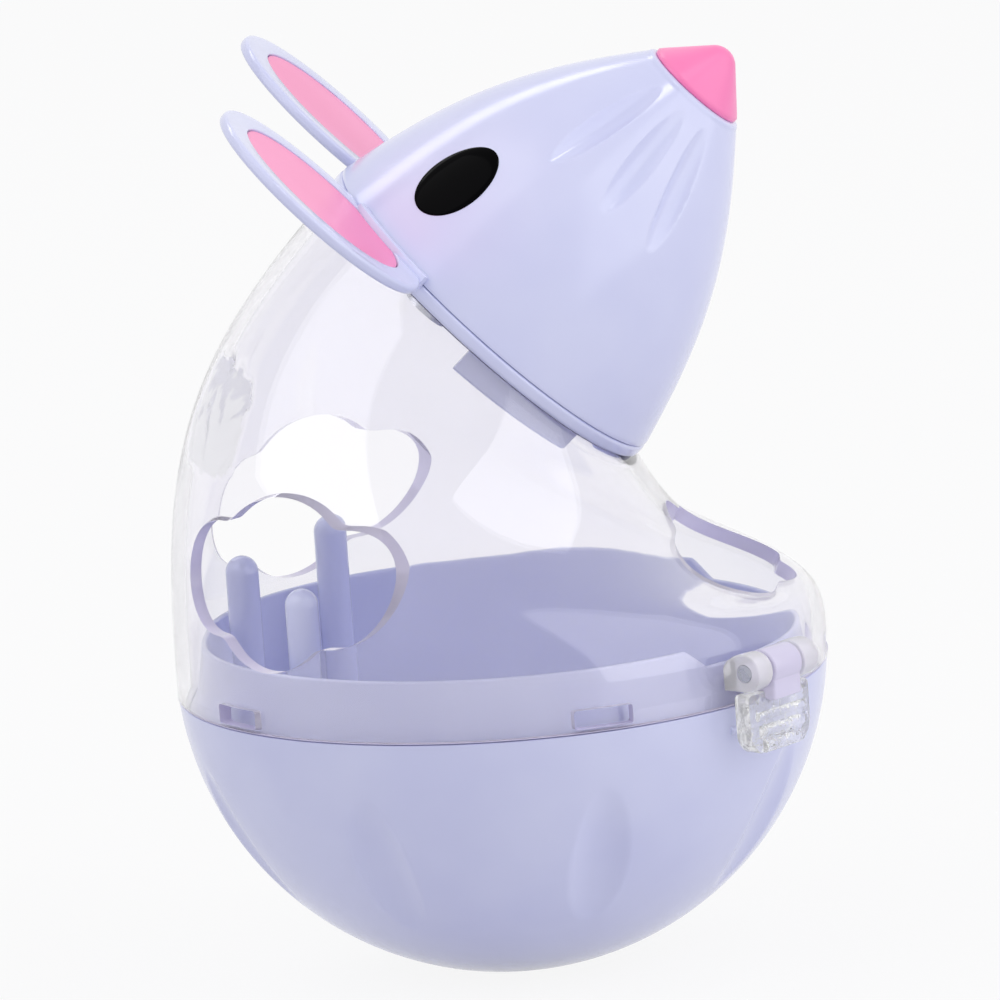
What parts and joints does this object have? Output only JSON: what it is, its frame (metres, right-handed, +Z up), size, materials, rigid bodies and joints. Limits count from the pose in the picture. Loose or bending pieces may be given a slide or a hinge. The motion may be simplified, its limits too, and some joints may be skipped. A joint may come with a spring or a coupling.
{
  "type": "wobble treat dispenser",
  "caption": "Self-righting pet toy: weighted round bowl, hinged clear dome with lobed treat holes and a clip, and a pull-off mouse head with round ears.",
  "frame": {"origin": "middle of the flat foot under the bowl", "axes": "+Z up along the bowl's axis, +X to the mouse's front, +Y to the mouse's left"},
  "size_m": [0.075, 0.078, 0.1058],
  "materials": {
    "white_shell": "gloss moulded, white with a lavender tint",
    "clear_shell": "clear moulded",
    "pink": "satin moulded",
    "black": "gloss",
    "steel": "bright",
    "iron": "as cast"
  },
  "bodies": {
    "base": {"base_bowl": "white_shell", "counterweight": "iron", "peg_floor": "white_shell", "floor_screws": "steel", "hinge_pin": "steel"},
    "dome": {"clear_dome": "clear_shell", "clip_pin": "steel"},
    "clip": {"front_clip": "clear_shell"},
    "head": {"ear_plate": "white_shell", "left_ear_inlay": "pink", "right_ear_inlay": "pink", "head_shell": "white_shell", "left_eye": "black", "right_eye": "black", "nose": "pink", "head_screws": "steel"}
  },
  "joints": [
    {"name": "dome_open", "type": "hinge", "parent": "base", "child": "dome", "pos_m": [-0.03195, 0.02407, 0.03163], "axis": [-0.6018, -0.7986, 0], "range_deg": [0, 105]},
    {"name": "clip_flip", "type": "hinge", "parent": "dome", "child": "clip", "pos_m": [0.03203, -0.02413, 0.03823], "axis": [-0.6018, -0.7986, 0], "range_deg": [0, 110]},
    {"name": "head_pull", "type": "slide", "parent": "dome", "child": "head", "axis": [0.7157, 0, 0.6984], "range_m": [0, 0.025]}
  ]
}
